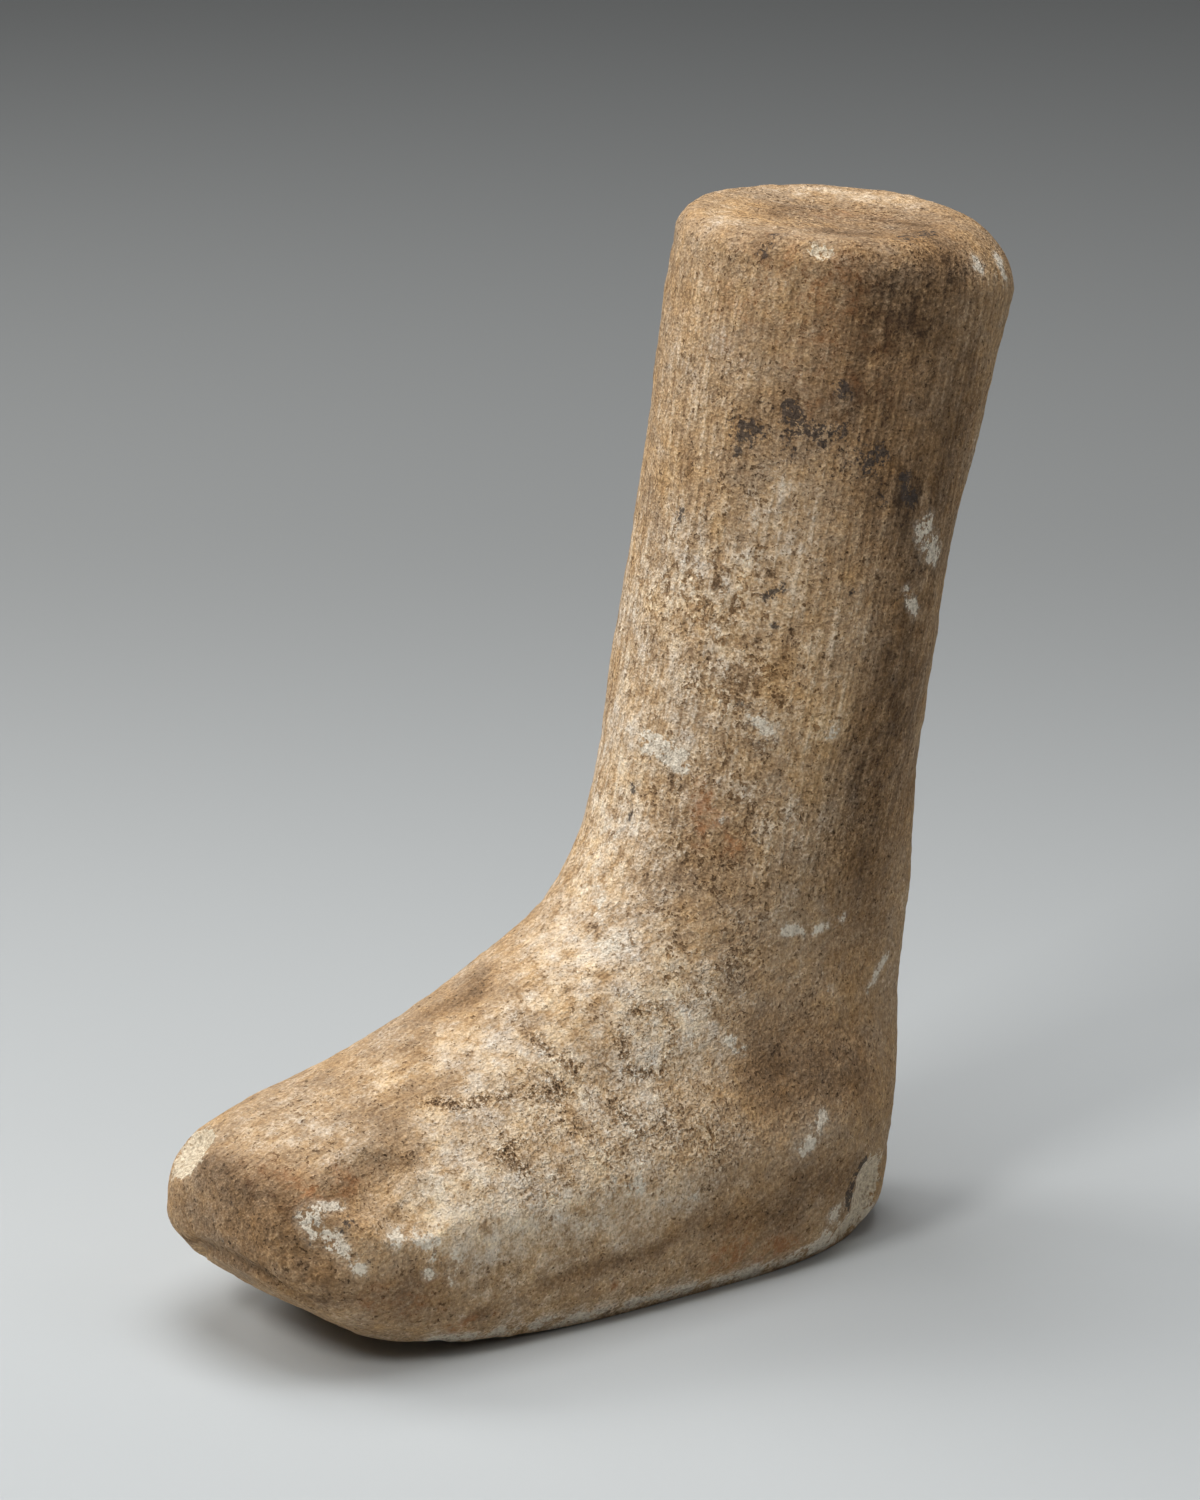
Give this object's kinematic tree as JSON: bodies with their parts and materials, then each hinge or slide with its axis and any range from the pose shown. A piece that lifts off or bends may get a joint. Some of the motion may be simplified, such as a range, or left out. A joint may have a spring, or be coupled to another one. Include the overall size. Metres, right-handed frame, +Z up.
{
  "type": "stone votive leg",
  "caption": "Carved limestone votive of a lower leg and foot in one piece, with a blunt squared toe, a flat sole and a flat cut top; it stands on its sole.",
  "frame": {"origin": "on the ground under the middle of the bounding box, at the underside of the sole", "axes": "+Z up along the leg, -Y toward the toe, +Y toward the heel and calf, +X the side seen at the right of the toe"},
  "size_m": [0.094, 0.2429, 0.2672],
  "materials": {
    "limestone": "dry matt weathered limestone, buff to brown patina with pale worn patches, dark specks and rust-coloured stains"
  },
  "bodies": {
    "root": {"stone_leg": "limestone"}
  },
  "joints": []
}
